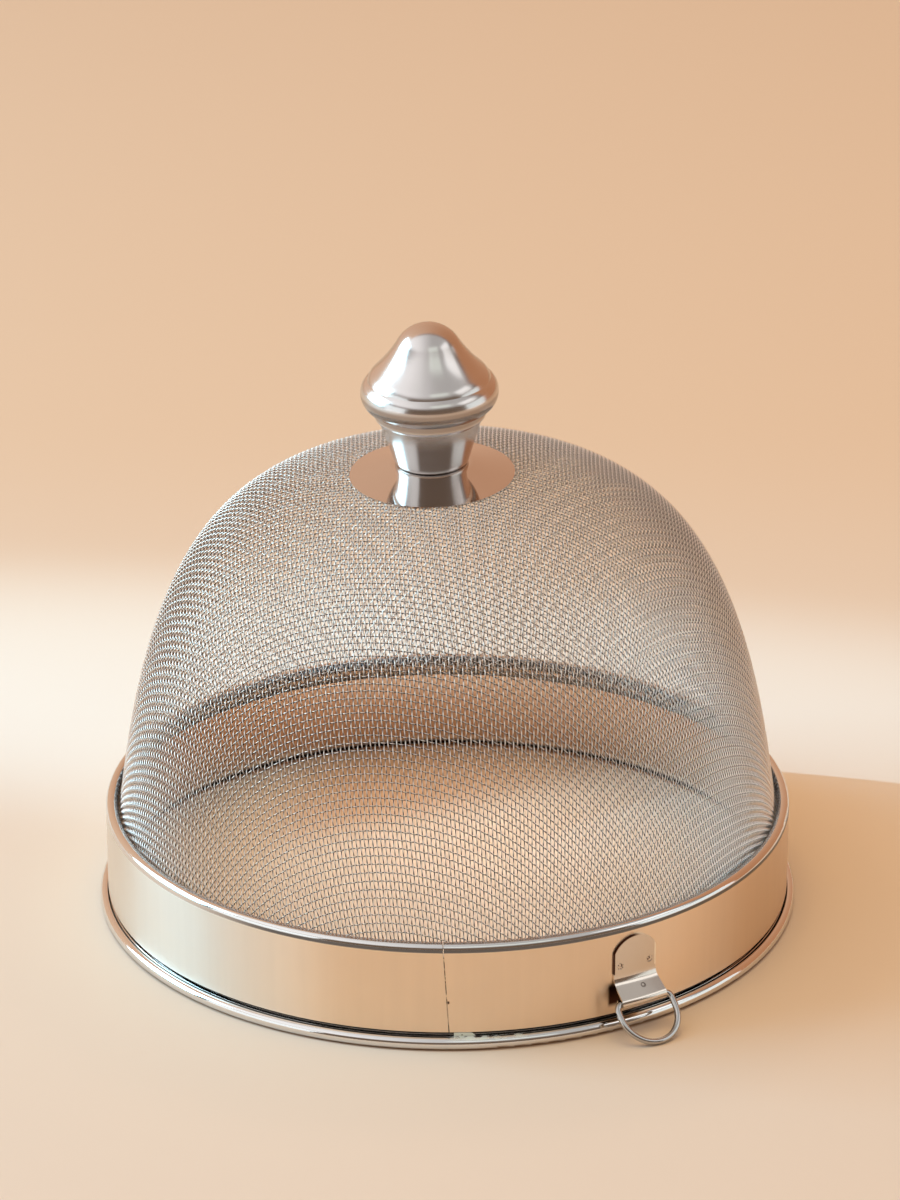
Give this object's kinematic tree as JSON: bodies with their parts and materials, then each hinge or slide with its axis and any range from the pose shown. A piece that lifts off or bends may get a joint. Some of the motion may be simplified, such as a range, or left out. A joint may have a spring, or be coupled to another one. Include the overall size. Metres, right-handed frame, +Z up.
{
  "type": "dish cover",
  "caption": "Round dish cover: a woven-wire dome in a rolled-edge steel hoop, a pressed metal knob on a disc on top, and a hanging ring in a clip.",
  "frame": {"origin": "middle of the rim, on the table that the cover stands on", "axes": "+Z up along the dome's axis; the band's seam faces -Y and the hanging ring is to its right, towards +X"},
  "size_m": [0.262, 0.262, 0.2302],
  "materials": {
    "polished_steel": "polished stainless steel sheet",
    "woven_wire": "bright drawn wire, plain weave",
    "drawn_wire": "bright drawn wire",
    "plain_steel": "plain stainless steel"
  },
  "bodies": {
    "cover": {"rim_band": "polished_steel", "base_hoop": "polished_steel", "mesh_dome": "woven_wire", "hanger_clip": "polished_steel", "knob_base_disc": "polished_steel", "knob_cup": "polished_steel", "knob_cap": "polished_steel", "knob_nut": "plain_steel", "spring_washer": "plain_steel", "fixing_screw": "plain_steel", "clamp_plate": "plain_steel"},
    "ring": {"hanging_ring": "drawn_wire"}
  },
  "joints": [
    {"name": "ring_swing", "type": "hinge", "parent": "cover", "child": "ring", "pos_m": [0.06941, -0.11416, 0.0126], "axis": [-0.8545, -0.5195, 0], "range_deg": [-50, 140]}
  ]
}
